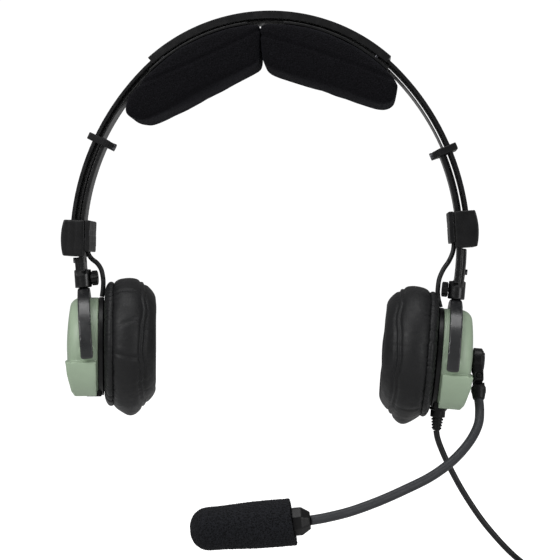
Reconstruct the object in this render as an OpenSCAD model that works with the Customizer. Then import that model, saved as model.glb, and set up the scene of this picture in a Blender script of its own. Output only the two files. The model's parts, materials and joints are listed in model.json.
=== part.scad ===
// Lightweight aviation headset: twin-leaf headband, sliding arms, swivel stirrups, two ear cups and a boom.
// Millimetres. The origin is the crown of the wearer's head. +X is the boom side, -Y is forwards, +Z is up.

/* [Headband] */
// Height of the band's outer face above the crown of the head
crown_top = 30.7; // [28:0.1:34]
// Radius of the band's outer face over the crown
crown_r = 89; // [86:1:92]
// Radius of the band's outer face down each side
side_r = 125; // [122:1:128]
// Width of the outer leaf of the band
band_w = 15; // [14:0.5:15]
// Thickness of the outer leaf of the band
band_t = 1.6; // [1.4:0.1:1.6]
// Width of the moulded top cover
cover_w = 18; // [17.5:0.5:20]
// Half angle that the top cover spans
cover_a = 41.7; // [40:0.1:43]
// Width of the crown pads
pad_w = 39; // [34:1:42]

/* [Arms] */
// Angle of the left buckle down the band, from the crown
left_buckle_a = 88.3; // [87.8:0.1:88.4]
// Angle of the right buckle down the band, from the crown
right_buckle_a = 86.3; // [85:0.1:86.6]
// Angle of the left arm's lower hub
left_hub_a = 97.9; // [97.8:0.1:99]
// Angle of the right arm's lower hub
right_hub_a = 100.7; // [99:0.1:101]
// Width of a slide arm
arm_w = 11; // [9:0.5:11]

/* [Ear cups] */
// Distance from the arm's hub to the cup's pivot pins
stirrup_len = 36; // [35.8:0.1:38]
// Lean of the left stirrup, its foot towards the ear
left_lean = 4; // [3:0.5:6]
// Lean of the right stirrup, its foot towards the ear
right_lean = 5; // [4:0.5:6]
// Turn of the left cup about its stirrup's shaft, its front towards the ear
left_swivel = 7; // [0:0.5:8]
// Tilt of the left cup, its foot towards the ear
left_tilt = 0; // [0:0.5:2]
// Tilt of the right cup, its foot towards the ear
right_tilt = 5; // [4:0.5:6]
// Radius of the ear dome
dome_r = 24.5; // [24:0.1:24.8]
// Radius of the ear cushion
cushion_r = 33.5; // [32:0.5:34]
// Thickness of the ear cushion
cushion_t = 22; // [20:1:23]

/* [Boom and cord] */
// Diameter of the flexible boom
boom_d = 4.6; // [4:0.2:5]
// Forward lean of the boom where it leaves its hub
boom_lean = 20; // [18:1:22]
// Length of the microphone muff
muff_l = 46; // [44:1:48]
// Radius of the microphone muff
muff_r = 10.5; // [10:0.5:11]
// Diameter of the cord
cord_d = 3; // [3:0.1:3.2]

/* [Hidden] */
$fn = 64;

LEFT = -1;
RIGHT = 1;
run_gap = 0.05; // radial clearance of every running pin

// Centres of the crown arc and of the side arcs, which meet tangentially at blend_a
blend_a = 45;
crown_cz = crown_top - crown_r;
side_cx = -(side_r - crown_r) * sin(blend_a);
side_cz = crown_cz - (side_r - crown_r) * cos(blend_a);

// Depths of the layers below the band's outer face
cover_t = 1.8;
lead_d0 = 1.75;
lead_d1 = 2.3;
strap_d0 = 3.4;
strap_d1 = 3.9;
arm_d0 = 4.1;
arm_d1 = 6.5;
plate_d1 = 5.4;

buckle_h = 18;
buckle_w = 24;
wall_in = 8;
buckle_r = side_r + 4;
inner_r0 = side_r - 10.4;
inner_r1 = side_r - 7.9;
band_end = 3; // degrees that the band runs on past its buckle's centre

hub_rad = side_r - 4.4;
hub_r = 4.25;
hub_h = 9;
shaft_r = 2;
arm_span = 33.3;
pin_back = 4.5;
stem_gap = 4.5; // degrees from a buckle's centre to the thick stem below it

// Cup geometry, from the pivot axis: x outwards, z up
cup_z = 2;
rim_x = -5.5;
flange_x = -8;
neck_x = -9;
skirt_x = -12;
cushion_lift = 1.2;
cushion_hole_r = 16;
cushion_edge = 6;
dome_x = 10.5;
block_x = 8.6;
crown_face_r = 120;
shoulder_r = 6;
shoulder_x = 3.2;
wall_t = 2;
strap_r0 = dome_r + 1.7;
strap_t = 3;
strap_w = 6.1;
strap_foot = -3.4;
pin_r = 1.8;
pin_reach = 2;
step_z = -7;

// The boom's hinge and elbow, measured along the boom from its hub's centre
boom_x = 13.5;
hub_disc_r = 6.3;
hinge_t = 9;
fork_clear = 3.95; // outside the sweep of the fork's corners
elbow_t = 20;

function hub_a(side) = side < 0 ? left_hub_a : right_hub_a;
function buckle_a(side) = side < 0 ? left_buckle_a : right_buckle_a;
function lean(side) = side < 0 ? left_lean : right_lean;
function tilt(side) = side < 0 ? left_tilt : right_tilt;
function swivel(side) = side < 0 ? left_swivel : 0;
function pivot_x(side) = side_cx + hub_rad * sin(hub_a(side)) - stirrup_len * sin(lean(side));
function pivot_z(side) = side_cz + hub_rad * cos(hub_a(side)) - stirrup_len * cos(lean(side));

// A point on the band at a signed angle from the crown, at a depth below the outer face
function band_pt(a, depth) =
  abs(a) <= blend_a
    ? [(crown_r - depth) * sin(a), crown_cz + (crown_r - depth) * cos(a)]
    : [sign(a) * (side_cx + (side_r - depth) * sin(abs(a))), side_cz + (side_r - depth) * cos(a)];

// Sweep of a round tube along points: each ring stands square to the local direction
function unit(v) = v / norm(v);
function heading(p, i) = unit(p[min(i + 1, len(p) - 1)] - p[max(i - 1, 0)]);
function side_of(d) = unit(cross(d, abs(d[1]) > 0.9 ? [1, 0, 0] : [0, 1, 0]));
function ring(c, d, r, n) = [
  for (k = [0:n - 1]) c + r * (cos(360 * k / n) * side_of(d) + sin(360 * k / n) * cross(d, side_of(d)))
];
function spline(p, i, t) =
  let (
    a = p[max(i - 1, 0)],
    b = p[i],
    c = p[i + 1],
    d = p[min(i + 2, len(p) - 1)]
  )
  0.5 * (2 * b + (c - a) * t + (2 * a - 5 * b + 4 * c - d) * t * t + (3 * b - a - 3 * c + d) * t * t * t);
function smooth(p, steps) = [
  for (i = [0:len(p) - 2], s = [0:steps - 1]) spline(p, i, s / steps),
  p[len(p) - 1],
];

module tube(points, r, sides) {
  rings = [for (i = [0:len(points) - 1]) ring(points[i], heading(points, i), r, sides)];
  walls = [
    for (i = [0:len(points) - 2], k = [0:sides - 1])
      let (a = i * sides, k2 = (k + 1) % sides)
        [a + k, a + k2, a + sides + k2, a + sides + k],
  ];
  start = [for (k = [sides - 1:-1:0]) k];
  finish = [for (k = [0:sides - 1]) (len(points) - 1) * sides + k];
  polyhedron([for (one = rings, p = one) p], concat([start], walls, [finish]), convexity = 6);
}

// Routes of the wires, the boom and the cord
left_wire_route = [
  [-91.5, 0, -81], [-91.5, 0, -84.5], [-91.5, 0, -87.4], [-89.8, 0, -90.2], [-86.9, 0.1, -92.6],
  [-84.9, 0.3, -95.8], [-84, 0.6, -100.3], [-84, 0.9, -104.5], [-84.6, 1, -109],
];
right_wire_route = [
  [91.3, 0, -77], [91.5, 0, -80], [91.65, 0, -83.4], [91.1, 0, -87.2], [89.2, 0, -91.6], [86.4, 0, -95.8],
  [84.4, 0, -100.5], [83.7, 0, -105.5], [83.7, 0, -108.3], [84.1, 0, -111], [85, 0, -114.2],
];
boom_route = [
  [103.8, -9.4, -165], [103, -14, -171], [100, -19, -177], [95, -25, -183], [88, -32, -189],
  [78, -40, -195], [66, -48, -200], [54, -55, -204.5], [41, -61.5, -208.5], [30, -66, -210.8],
  [22, -69, -211.9],
];
cord_route = [
  [82.9, 0, -175.9], [83.6, 0, -180], [85.8, 0, -186], [89.5, 0, -194], [96, 0, -206], [104.5, 0.5, -219],
  [113, 2, -229.5], [121, 5, -238], [128, 9, -243.8], [135, 12.8, -247], [142, 15.3, -247.8], [150, 16, -247.5],
];
tail_route = [
  [150, 16, -256.5], [160, 17.4, -256.5], [168, 13.5, -256.5], [173, 5.5, -256.5], [174, -4.5, -256.5],
  [172, -14.5, -256.5], [167.5, -24, -256.3], [159.5, -31.5, -255.3], [150, -35, -253],
];

// The coil and the plug lie on one surface
floor_z = -258;
coil_x = 150;
coil_y = -4;
coil_mean_r = 17;
coil_wide = 3;
coil_high = 4;
plug_x = 150;
plug_y = -35;
plug_z = -252.5;
plug_relief_l = 6;
plug_body_r = 5.5;
plug_body_l = 26;
plug_pin_r = 3.53;

module on_side(side) {
  if (side < 0) mirror([1, 0, 0]) children();
  else children();
}

// A curved layer of the band, between two depths, from the crown arc down to an angle on each side
module arc(cx, cz, r0, r1, w, a0, a1) {
  translate([cx, 0, cz])
    rotate([90, 0, 0])
      rotate_extrude(angle = a1 - a0, start = 90 - a1, $fn = 240)
        translate([r0, -w / 2])
          square([r1 - r0, w]);
}

module band_layer(d0, d1, w, left_end, right_end) {
  arc(0, crown_cz, crown_r - d1, crown_r - d0, w, -min(blend_a, left_end), min(blend_a, right_end));
  if (left_end > blend_a)
    on_side(LEFT) arc(side_cx, side_cz, side_r - d1, side_r - d0, w, blend_a, left_end);
  if (right_end > blend_a)
    arc(side_cx, side_cz, side_r - d1, side_r - d0, w, blend_a, right_end);
}

// Local frame on a side arc: x along the radius, z up along the band
module at_side(a, r = 0) {
  translate([side_cx, 0, side_cz])
    rotate([0, a - 90, 0])
      translate([r, 0, 0])
        children();
}

module at_crown(a, r = 0) {
  translate([0, 0, crown_cz])
    rotate([0, a - 90, 0])
      translate([r, 0, 0])
        children();
}

module x_cylinder(x0, x1, r) {
  translate([x0, 0, 0])
    rotate([0, 90, 0])
      cylinder(h = x1 - x0, r = r);
}

module y_cylinder(y0, y1, r) {
  translate([0, y0, 0])
    rotate([-90, 0, 0])
      cylinder(h = y1 - y0, r = r);
}

module centred_box(x0, x1, w, z0, z1) {
  translate([x0, -w / 2, z0])
    cube([x1 - x0, w, z1 - z0]);
}

// ---- Headband ----

module headband_spring() {
  color("#1b1b1d")
    difference() {
      band_layer(0, band_t, band_w, left_buckle_a + band_end, right_buckle_a + band_end);
      for (a = [-38, 38], y = [-5.6, 5.6])
        at_crown(a)
          translate([0, y, 0])
            x_cylinder(crown_r - 4, crown_r + 2, 1.15);
      for (side = [LEFT, RIGHT], y = [-5.2, 5.2])
        on_side(side)
          at_side(buckle_a(side))
            translate([0, y, 0])
              x_cylinder(side_r - 4, side_r + 2, 1.6);
    }
}

module headband_cover() {
  color("#131315")
    difference() {
      union() {
        band_layer(-cover_t, -0.05, cover_w, cover_a, cover_a);
        for (y = [-1, 1])
          translate([0, y * (cover_w / 2 - 0.55), 0])
            band_layer(-cover_t, band_t + 0.6, 1.1, cover_a, cover_a);
      }
      for (a = [-38, 38], y = [-5.6, 5.6])
        at_crown(a)
          translate([0, y, 0]) {
            x_cylinder(crown_r - 1, crown_r + 3, 1.15);
            x_cylinder(crown_r + cover_t - 1, crown_r + 3, 2.2);
          }
    }
}

module cover_screws() {
  color("#3a3a3e")
    for (a = [-38, 38], y = [-5.6, 5.6])
      at_crown(a)
        translate([0, y, 0])
          difference() {
            union() {
              x_cylinder(crown_r - 4.4, crown_r + 1, 1.05);
              x_cylinder(crown_r + cover_t - 0.95, crown_r + cover_t - 0.1, 2.1);
            }
            x_cylinder(crown_r + cover_t - 0.7, crown_r + 3, 0.8, $fn = 6);
          }
}

module inner_strap() {
  color("#111113")
    difference() {
      band_layer(strap_d0, strap_d1, 13, left_buckle_a + band_end, right_buckle_a + band_end);
      for (a = [-38, 38], y = [-5.6, 5.6])
        at_crown(a)
          translate([0, y, 0])
            x_cylinder(crown_r - 5, crown_r - 3, 1.15);
    }
}

module crossover_lead() {
  color("#242427")
    band_layer(lead_d0, lead_d1, 6, left_buckle_a - 1, right_buckle_a - 1);
}

// A crown pad is an outline under the band, drawn out along Y
module pad(a0, a1, foot) {
  steps = 14;
  top = [for (i = [0:steps]) band_pt(a0 + (a1 - a0) * i / steps, plate_d1 + 0.15)];
  rotate([90, 0, 0])
    linear_extrude(pad_w, center = true)
      polygon(concat(top, foot));
}

module left_pad() {
  color("#17171a")
    pad(-3.2, -53, [[-71, -19], [-66, -22.5], [-60, -22.8], [-52.5, -19.5], [-9, 4], [-4.8, 5.6]]);
}

module right_pad() {
  color("#17171a")
    pad(-2.5, 48.5, [[62, -13.5], [57.5, -15.7], [52.5, -14.8], [2.5, 2], [-2.2, 4.8]]);
}

// The moulded plate behind a pad, relieved for the ends of the cover's screws
module pad_plate(a0, a1) {
  difference() {
    arc(0, crown_cz, crown_r - plate_d1, crown_r - strap_d1 - 0.05, 30, a0, a1);
    for (a = [-38, 38], y = [-5.6, 5.6])
      at_crown(a)
        translate([0, y, 0])
          x_cylinder(crown_r - 7, crown_r - 3, 1.4);
  }
}

module left_pad_plate() { color("#202023") pad_plate(-44, -7); }
module right_pad_plate() { color("#202023") pad_plate(5, 44); }

// ---- Buckles ----

module buckle_outer(side) {
  rows = [side_r + 0.6, side_r - 3, side_r - 7.3];
  on_side(side)
    at_side(buckle_a(side))
      difference() {
        union() {
          intersection() {
            centred_box(side_r + 0.25, buckle_r, buckle_w, -buckle_h / 2, buckle_h / 2);
            translate([buckle_r - 32, 0, 0]) y_cylinder(-buckle_w, buckle_w, 32);
          }
          for (y = [-1, 1])
            translate([0, y * (wall_in + buckle_w / 2) / 2, 0])
              centred_box(inner_r1 + 0.05, side_r + 0.3, buckle_w / 2 - wall_in, -buckle_h / 2, buckle_h / 2);
          for (y = [-5.2, 5.2])
            translate([0, y, 0]) x_cylinder(side_r - 1.4, side_r + 0.3, 1.5);
        }
        for (x = rows, y = [-1, 1])
          translate([x, y * buckle_w / 2, 0]) cube([0.7, 1.2, buckle_h + 1], center = true);
        for (y = [-10, 10])
          translate([0, y, 2.75]) x_cylinder(inner_r1 - 1, side_r - 2, 1.05);
      }
}

module buckle_inner(side) {
  on_side(side)
    at_side(buckle_a(side))
      difference() {
        centred_box(inner_r0, inner_r1, buckle_w, -6.5, buckle_h / 2);
        centred_box(inner_r1 - 1.5, inner_r1 + 1, 3, -buckle_h, buckle_h);
        for (y = [-10, 10])
          translate([0, y, 2.75]) {
            x_cylinder(inner_r0 - 1, inner_r1 + 1, 1.15);
            x_cylinder(inner_r0 - 1, inner_r0 + 1.1, 1.75);
          }
        for (z = [-1.6, 1.2, 4, 6.8])
          translate([inner_r0, 0, z]) cube([0.7, buckle_w - 7.6, 0.7], center = true);
      }
}

module buckle_screws() {
  color("#57575b")
    for (side = [LEFT, RIGHT], y = [-10, 10])
      on_side(side)
        at_side(buckle_a(side))
          translate([0, y, 2.75])
            difference() {
              union() {
                x_cylinder(inner_r0 + 0.1, side_r - 2.2, 1);
                x_cylinder(inner_r0 + 0.1, inner_r0 + 1.05, 1.65);
              }
              x_cylinder(inner_r0 - 1, inner_r0 + 0.6, 0.7, $fn = 6);
            }
}

module left_buckle_outer() { color("#161618") buckle_outer(LEFT); }
module left_buckle_inner() { color("#161618") buckle_inner(LEFT); }
module right_buckle_outer() { color("#161618") buckle_outer(RIGHT); }
module right_buckle_inner() { color("#161618") buckle_inner(RIGHT); }

// ---- Slide arms ----

// Local frame of the swivel: origin at the cup's pivot, z up to the arm's hub
module at_pivot(side, turn) {
  translate([pivot_x(side), 0, pivot_z(side)])
    rotate([0, turn, 0])
      children();
}

// The same origin, swivelled with the stirrup about the arm's hub
module at_stirrup(side) {
  at_pivot(side, lean(side))
    rotate([0, 0, -swivel(side)])
      children();
}

module slide_arm(side) {
  a = hub_a(side);
  stem_a = buckle_a(side) + stem_gap;
  on_side(side)
    difference() {
      union() {
        arc(side_cx, side_cz, side_r - arm_d1, side_r - arm_d0, arm_w, a - arm_span - 1, a - 1.6);
        arc(side_cx, side_cz, side_r - arm_d1, side_r - arm_d0 + 2.4, 9, stem_a, a - 1.2);
        at_pivot(side, lean(side))
          translate([0, 0, stirrup_len - hub_h / 2])
            cylinder(h = hub_h, r = hub_r);
      }
      at_pivot(side, lean(side)) {
        translate([0, 0, stirrup_len - hub_h / 2 - 1])
          cylinder(h = 8.8, r = shaft_r + run_gap);
        translate([0, 0, stirrup_len])
          x_cylinder(-hub_r - 3, 0, 1.3);
      }
      at_side(a - arm_span) x_cylinder(side_r - 9, side_r - 2, 1.15);
      at_side(a - pin_back) x_cylinder(side_r - 9, side_r + 2, 1.15);
    }
}

module guide_clip(side) {
  on_side(side)
    at_side(hub_a(side) - arm_span)
      difference() {
        union() {
          centred_box(side_r - 7.9, side_r + 3, band_w + 2.6, -1.8, 1.8);
          centred_box(side_r - 9.4, side_r - 7, 9, -1.8, 1.8);
        }
        centred_box(side_r - arm_d1 - 0.05, side_r + 0.3, band_w + 0.6, -4, 4);
        x_cylinder(side_r - 12, side_r, 1.15);
        for (y = [-1, 1])
          translate([side_r - 7.9, y * (band_w / 2 + 1.3), 0])
            rotate([0, 0, 45]) cube([2, 2, 8], center = true);
      }
}

// The clip's rivet, which holds it to the arm, and the stop pin below the buckle
module arm_pins(side) {
  on_side(side) {
    at_side(hub_a(side) - arm_span) {
      x_cylinder(side_r - 10, side_r - arm_d0 - 0.1, 1.1);
      x_cylinder(side_r - 10.8, side_r - 9.45, 1.9);
    }
    at_side(hub_a(side) - pin_back) {
      x_cylinder(side_r - arm_d1 + 0.2, side_r - 0.5, 1.1);
      x_cylinder(side_r - 1.55, side_r - 0.5, 1.4);
    }
  }
}

module friction_knob(side) {
  on_side(side)
    at_pivot(side, lean(side))
      translate([0, 0, stirrup_len])
        difference() {
          union() {
            x_cylinder(-hub_r - 3.2, -hub_r - 0.15, 3.3);
            for (k = [0:11])
              rotate([30 * k, 0, 0])
                translate([-hub_r - 3, 0, 3.3]) rotate([0, 90, 0]) cylinder(h = 2.6, r = 0.45, $fn = 16);
            x_cylinder(-hub_r - 1, -shaft_r - 0.15, 1.2);
          }
          translate([-hub_r - 3.2, 0, 0]) cube([1.4, 4.6, 0.9], center = true);
        }
}

module left_slide_arm() { color("#1a1a1c") slide_arm(LEFT); }
module left_guide_clip() { color("#141416") guide_clip(LEFT); }
module left_arm_pins() { color("#55555a") arm_pins(LEFT); }
module left_friction_knob() { color("#141416") friction_knob(LEFT); }
module right_slide_arm() { color("#1a1a1c") slide_arm(RIGHT); }
module right_guide_clip() { color("#141416") guide_clip(RIGHT); }
module right_arm_pins() { color("#55555a") arm_pins(RIGHT); }
module right_friction_knob() { color("#141416") friction_knob(RIGHT); }

// ---- Stirrups ----

module stirrup(side) {
  on_side(side)
    at_stirrup(side)
      difference() {
        union() {
          translate([-strap_w / 2, 0, cup_z])
            rotate([90, 0, 90])
              rotate_extrude(angle = 180, $fn = 120)
                translate([strap_r0, 0]) square([strap_t, strap_w]);
          for (y = [strap_r0, -strap_r0 - strap_t]) {
            translate([-strap_w / 2, y, strap_foot + 1.2])
              cube([strap_w, strap_t, cup_z - strap_foot - 1.2]);
            for (x = [-1, 1])
              translate([x * (strap_w / 2 - 1.2), 0, strap_foot + 1.2]) y_cylinder(y, y + strap_t, 1.2);
            translate([1.2 - strap_w / 2, y, strap_foot])
              cube([strap_w - 2.4, strap_t, 2]);
          }
          translate([0, 0, strap_r0 + cup_z + 1.5])
            cylinder(h = stirrup_len + 2.6 - strap_r0 - cup_z - 1.5, r = shaft_r);
        }
        y_cylinder(-strap_r0 - pin_reach - 0.2, strap_r0 + pin_reach + 0.2, pin_r + run_gap);
        translate([0, 0, stirrup_len])
          rotate_extrude()
            translate([shaft_r - 0.1, -1.5]) square([1, 3]);
      }
}

module left_stirrup() { color("#17171a") stirrup(LEFT); }
module right_stirrup() { color("#17171a") stirrup(RIGHT); }
module left_wire() { color("#161618") tube(smooth(left_wire_route, 2), 1.2, 8); }
module right_wire() { color("#161618") tube(smooth(right_wire_route, 2), 1.2, 8); }

// ---- Ear cups ----

module at_cup(side) {
  on_side(side) at_stirrup(side) rotate([0, tilt(side) - lean(side), 0]) children();
}

// A solid of revolution about the cup's axis: the profile's x is the radius and its y runs outwards
module turned() {
  translate([0, 0, cup_z])
    rotate([90, 0, 90])
      rotate_extrude($fn = 96)
        children();
}

// Half section of the dome: a straight side, a round shoulder and a shallow crown
module dome_profile(inset) {
  r = dome_r - inset;
  shoulder = shoulder_r - inset;
  crown = crown_face_r - inset;
  intersection() {
    union() {
      translate([0, rim_x - 1]) square([r - shoulder, dome_x - inset - rim_x + 1]);
      translate([0, rim_x - 1]) square([r, shoulder_x - rim_x + 1]);
      translate([r - shoulder, shoulder_x]) circle(shoulder);
    }
    translate([0, rim_x]) square([r, dome_x - rim_x]);
    translate([0, dome_x - inset - crown]) circle(crown, $fn = 480);
  }
}

module ear_dome(side) {
  at_cup(side)
    difference() {
      union() {
        difference() {
          union() {
            turned() dome_profile(0);
            intersection() {
              translate([0, 0, cup_z]) x_cylinder(rim_x + 0.8, block_x, dome_r + 2.8);
              centred_box(-20, 20, 80, cup_z - dome_r, cup_z + step_z);
            }
            if (side > 0)
              translate([0, 0, cup_z]) x_cylinder(dome_x - 1, boom_x + 2.1, 3);
          }
          turned() dome_profile(wall_t);
          turned() translate([0, rim_x - 1]) square([dome_r - wall_t, 2]);
        }
        for (y = [-dome_r - 1.1, dome_r - 5.5])
          y_cylinder(y, y + 6.6, 3.2);
      }
      y_cylinder(-40, 40, pin_r + 0.02);
      centred_box(-7, 0.4, 22.4, cup_z - dome_r - 1, cup_z - dome_r + 3.6);
      if (side > 0)
        translate([0, 0, cup_z]) x_cylinder(dome_x - 4, boom_x + 5, 1.25);
    }
}

module baffle(side) {
  at_cup(side)
    difference() {
      union() {
        turned() translate([0, flange_x]) square([dome_r + 0.2, rim_x - flange_x - 0.05]);
        turned() translate([0, neck_x]) square([22.5, flange_x - neck_x]);
      }
      turned() translate([0, neck_x - 1]) square([20.2, 8]);
      centred_box(-7, 0, 22.4, cup_z - dome_r - 2, cup_z - dome_r + 3.6);
    }
}

// The notch in its neck lets the stirrup's wire into the cup
module cushion_plate(side) {
  at_cup(side)
    translate([0, 0, cushion_lift])
      difference() {
        union() {
          turned() translate([0, skirt_x + 1.2]) square([27.5, neck_x - skirt_x - 1.25]);
          turned() translate([0, skirt_x + 0.05]) square([30, 1.2]);
        }
        turned() translate([0, skirt_x - 1]) square([18, 8]);
        centred_box(skirt_x + 1.35, neck_x + 1, 3.8, 26.8, 34);
      }
}

module ear_cushion(side) {
  at_cup(side)
    translate([0, 0, cushion_lift])
      turned() {
        translate([cushion_hole_r, skirt_x - cushion_t + cushion_edge])
          square([cushion_r - cushion_hole_r, cushion_t - cushion_edge]);
        translate([cushion_hole_r + cushion_edge, skirt_x - cushion_t])
          square([cushion_r - cushion_hole_r - 2 * cushion_edge, cushion_t]);
        for (r = [cushion_hole_r + cushion_edge, cushion_r - cushion_edge])
          translate([r, skirt_x - cushion_t + cushion_edge]) circle(cushion_edge);
      }
}

module speaker(side) {
  at_cup(side)
    turned() {
      translate([0, -6]) square([20, 2.4]);
      translate([0, -4]) square([14, 4]);
      translate([0, -1]) square([10, 5]);
    }
}

module speaker_grille(side) {
  at_cup(side)
    difference() {
      turned() translate([0, -7.4]) square([20.1, 1.2]);
      translate([0, 0, cup_z])
        for (k = [0:17]) {
          rings = k < 6 ? 6 : 12;
          reach = k < 6 ? 5.5 : 11.5;
          rotate([360 * k / rings, 0, 0]) translate([0, 0, reach]) x_cylinder(-9, -5, 1.4);
        }
    }
}

// Damping foam behind the speaker; on the boom side it is bored for the hub's screw
module dome_foam(side) {
  bore = side > 0 ? 3.5 : 0;
  at_cup(side) turned() translate([bore, 4.6]) square([14 - bore, 2]);
}

// Headed pins, pressed outwards through the dome's bosses, on which the stirrup's blind bores turn
module pivot_pins(side) {
  at_cup(side)
    for (m = [0, 1])
      mirror([0, m, 0]) {
        y_cylinder(dome_r - 6.7, dome_r - 5.55, 2.6);
        y_cylinder(dome_r - 5.6, strap_r0 + pin_reach, pin_r);
      }
}

module cable_plate(side) {
  at_cup(side)
    difference() {
      centred_box(-6.9, 0.3, 22.2, cup_z - dome_r - 0.2, cup_z - dome_r + 3.5);
      if (side > 0)
        translate([-4, 0, cup_z - dome_r - 1]) cylinder(h = 6, r = 1.3);
    }
}

module left_ear_dome() { color("#7f9c7c") ear_dome(LEFT); }
module left_baffle() { color("#19191b") baffle(LEFT); }
module left_cushion_plate() { color("#19191b") cushion_plate(LEFT); }
module left_ear_cushion() { color("#1c1c1e") ear_cushion(LEFT); }
module left_speaker() { color("#6a6a6e") speaker(LEFT); }
module left_speaker_grille() { color("#2a2a2d") speaker_grille(LEFT); }
module left_dome_foam() { color("#45454a") dome_foam(LEFT); }
module left_pivot_pins() { color("#26262a") pivot_pins(LEFT); }
module left_cable_plate() { color("#101012") cable_plate(LEFT); }
module right_ear_dome() { color("#7f9c7c") ear_dome(RIGHT); }
module right_baffle() { color("#19191b") baffle(RIGHT); }
module right_cushion_plate() { color("#19191b") cushion_plate(RIGHT); }
module right_ear_cushion() { color("#1c1c1e") ear_cushion(RIGHT); }
module right_speaker() { color("#6a6a6e") speaker(RIGHT); }
module right_speaker_grille() { color("#2a2a2d") speaker_grille(RIGHT); }
module right_dome_foam() { color("#45454a") dome_foam(RIGHT); }
module right_pivot_pins() { color("#26262a") pivot_pins(RIGHT); }
module right_cable_plate() { color("#101012") cable_plate(RIGHT); }

// The cord's and the crossover's conductors join on a small board beside the speaker's magnet
module right_terminal_board() {
  color("#2f5a36")
    at_cup(RIGHT)
      translate([0, 0, cup_z]) {
        centred_box(0.6, 2.1, 15, -19, -12);
        for (y = [-5.4, -1.8, 1.8, 5.4])
          translate([0, y, -15.5]) x_cylinder(2, 3, 1.1);
      }
}

module cord_socket() {
  color("#131315")
    at_cup(RIGHT)
      translate([-4, 0, cup_z - dome_r - 0.2])
        difference() {
          union() {
            translate([0, 0, -5]) cylinder(h = 4.95, r = 3.7);
            translate([0, 0, -1.4]) cylinder(h = 1.35, r = 4.3);
          }
          translate([0, 0, -6]) cylinder(h = 7, r = 1.3);
        }
}

// ---- Boom ----

// Local frame of the boom: origin at its hub's centre, -z along the boom
module at_boom() {
  at_cup(RIGHT)
    translate([boom_x, 0, cup_z])
      rotate([0, -right_tilt, 0])
        rotate([-boom_lean, 0, 0])
          children();
}

module boom_hub() {
  color("#151517")
    difference() {
      union() {
        at_cup(RIGHT)
          translate([0, 0, cup_z]) {
            x_cylinder(dome_x + 0.3, boom_x + 1.9, hub_disc_r);
            x_cylinder(boom_x + 1.9, boom_x + 2.7, hub_disc_r - 1.1);
          }
        at_boom()
          difference() {
            centred_box(-2.6, 2.4, 10.4, -11.6, -3.5);
            centred_box(-5, 5, 5.2, -13, -6.9);
          }
      }
      at_cup(RIGHT)
        translate([0, 0, cup_z]) {
          x_cylinder(dome_x - 1, boom_x + 5, 3 + run_gap);
          x_cylinder(boom_x + 2.2, boom_x + 5, 4.4);
        }
      at_boom()
        translate([0, 0, -hinge_t]) y_cylinder(-8, 8, 1.5 + run_gap);
    }
}

module boom_hub_screw() {
  color("#3a3a3e")
    at_cup(RIGHT)
      translate([0, 0, cup_z])
        difference() {
          union() {
            x_cylinder(dome_x - 1, boom_x + 3, 1.2);
            x_cylinder(boom_x + 2.25, boom_x + 3.2, 4.2);
          }
          translate([boom_x + 3.2, 0, 0]) cube([1, 5.6, 1], center = true);
        }
}

module boom_elbow() {
  color("#161618")
    at_boom() {
      translate([0, 0, -hinge_t]) y_cylinder(-5, 5, 1.5);
      translate([0, 0, -hinge_t]) y_cylinder(-2.5, 2.5, 2);
      centred_box(-1.8, 1.8, 5, -14, -hinge_t);
      difference() {
        centred_box(-2.9, 2.9, 6.6, -15, -hinge_t);
        translate([0, 0, -hinge_t]) y_cylinder(-5, 5, fork_clear);
      }
      translate([0, 0, -elbow_t]) cylinder(h = 3.6, r1 = 2.9, r2 = 3.5);
      translate([0, 0, -elbow_t + 3.6]) cylinder(h = 2.8, r = 3.7);
    }
}

// Foot of the elbow, where the boom enters it
boom_start = [
  pivot_x(RIGHT) + boom_x * cos(right_tilt) + cup_z * sin(right_tilt),
  -elbow_t * sin(boom_lean),
  pivot_z(RIGHT) - boom_x * sin(right_tilt) + cup_z * cos(right_tilt) - elbow_t * cos(boom_lean),
];

module boom_gooseneck() {
  color("#2a2b2e") tube(smooth(concat([boom_start], boom_route), 3), boom_d / 2, 12);
}

// Local frame of the microphone: origin where the boom ends, x back along the boom
mic_slope = 5;
module at_mic() {
  translate(boom_route[len(boom_route) - 1])
    rotate([0, -mic_slope, 0])
      children();
}

module mic_housing() {
  color("#161618")
    at_mic()
      difference() {
        union() {
          hull() {
            translate([-1.5, 0, 0]) rotate([0, 90, 0]) rotate([0, 0, 22.5]) cylinder(h = 1.5, r = 4.2, $fn = 8);
            translate([-4.5, 0, 0]) rotate([0, 90, 0]) rotate([0, 0, 22.5]) cylinder(h = 0.5, r = 6.8, $fn = 8);
            translate([-8, 0, 0]) rotate([0, 90, 0]) rotate([0, 0, 22.5]) cylinder(h = 0.5, r = 6.8, $fn = 8);
            translate([-10.5, 0, 0]) rotate([0, 90, 0]) rotate([0, 0, 22.5]) cylinder(h = 0.5, r = 5.6, $fn = 8);
          }
          x_cylinder(-30, -10, 5.4);
        }
        x_cylinder(-31, -14, 4.6);
        for (k = [0:3])
          rotate([90 * k, 0, 0]) translate([-27, 0, 3]) cylinder(h = 4, r = 1.3);
      }
}

module mic_capsule() {
  color("#8a8a90")
    at_mic() {
      x_cylinder(-29.6, -20, 4.5);
      x_cylinder(-20, -17.5, 3);
    }
}

module mic_muff() {
  color("#151517")
    at_mic()
      translate([-9.6 - muff_l, 0, 0])
        rotate([0, 90, 0])
          rotate_extrude($fn = 72)
            difference() {
              union() {
                translate([0, 8]) square([muff_r, muff_l - 9.5]);
                square([muff_r - 8, 9]);
                translate([muff_r - 8, 8]) circle(8);
                translate([0, muff_l - 2]) square([muff_r - 1.2, 2]);
              }
              translate([-20, -10]) square([20, 80]);
              translate([0, muff_l - 22.2]) square([6.2, 30]);
            }
}

// ---- Cord ----

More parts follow.
